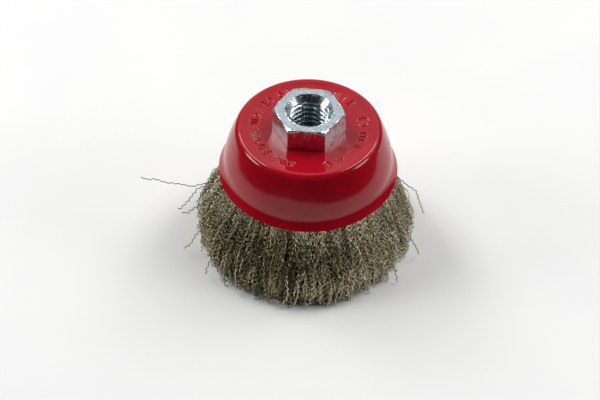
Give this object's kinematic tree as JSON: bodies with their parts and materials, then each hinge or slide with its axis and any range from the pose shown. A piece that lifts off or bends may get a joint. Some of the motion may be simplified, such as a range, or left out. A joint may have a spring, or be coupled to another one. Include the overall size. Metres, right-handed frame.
{
  "type": "crimped wire cup brush",
  "caption": "Crimped-wire cup brush with an enamelled steel cup and a threaded hex arbor nut, for the spindle of a hand-held grinder.",
  "frame": {"origin": "centre of the nut's top face, on the spin axis, where the spindle goes in", "axes": "+Z along the spin axis, from the wire tips towards the grinder's spindle; one flat of the hexagon faces -Y"},
  "size_m": [0.1029, 0.0792, 0.058],
  "materials": {
    "red_enamel": "gloss",
    "zinc_plate": "satin, bright zinc plating",
    "bare_steel": "satin, lightly oiled",
    "brassed_wire": "satin, thin brass coat over steel"
  },
  "bodies": {
    "root": {"arbor_nut": "zinc_plate", "cup_shell": "red_enamel", "inner_plate": "bare_steel", "holding_hoop": "bare_steel", "wire_bundle_01": "brassed_wire", "wire_bundle_02": "brassed_wire", "wire_bundle_03": "brassed_wire", "wire_bundle_04": "brassed_wire", "wire_bundle_05": "brassed_wire", "wire_bundle_06": "brassed_wire", "wire_bundle_07": "brassed_wire", "wire_bundle_08": "brassed_wire", "wire_bundle_09": "brassed_wire", "wire_bundle_10": "brassed_wire", "wire_bundle_11": "brassed_wire", "wire_bundle_12": "brassed_wire", "wire_bundle_13": "brassed_wire", "wire_bundle_14": "brassed_wire", "wire_bundle_15": "brassed_wire", "wire_bundle_16": "brassed_wire", "wire_bundle_17": "brassed_wire", "wire_bundle_18": "brassed_wire", "wire_bundle_19": "brassed_wire", "wire_bundle_20": "brassed_wire", "stray_wire_01": "brassed_wire", "stray_wire_02": "brassed_wire", "stray_wire_03": "brassed_wire", "stray_wire_04": "brassed_wire", "stray_wire_05": "brassed_wire", "stray_wire_06": "brassed_wire", "stray_wire_07": "brassed_wire", "stray_wire_08": "brassed_wire"}
  },
  "joints": []
}
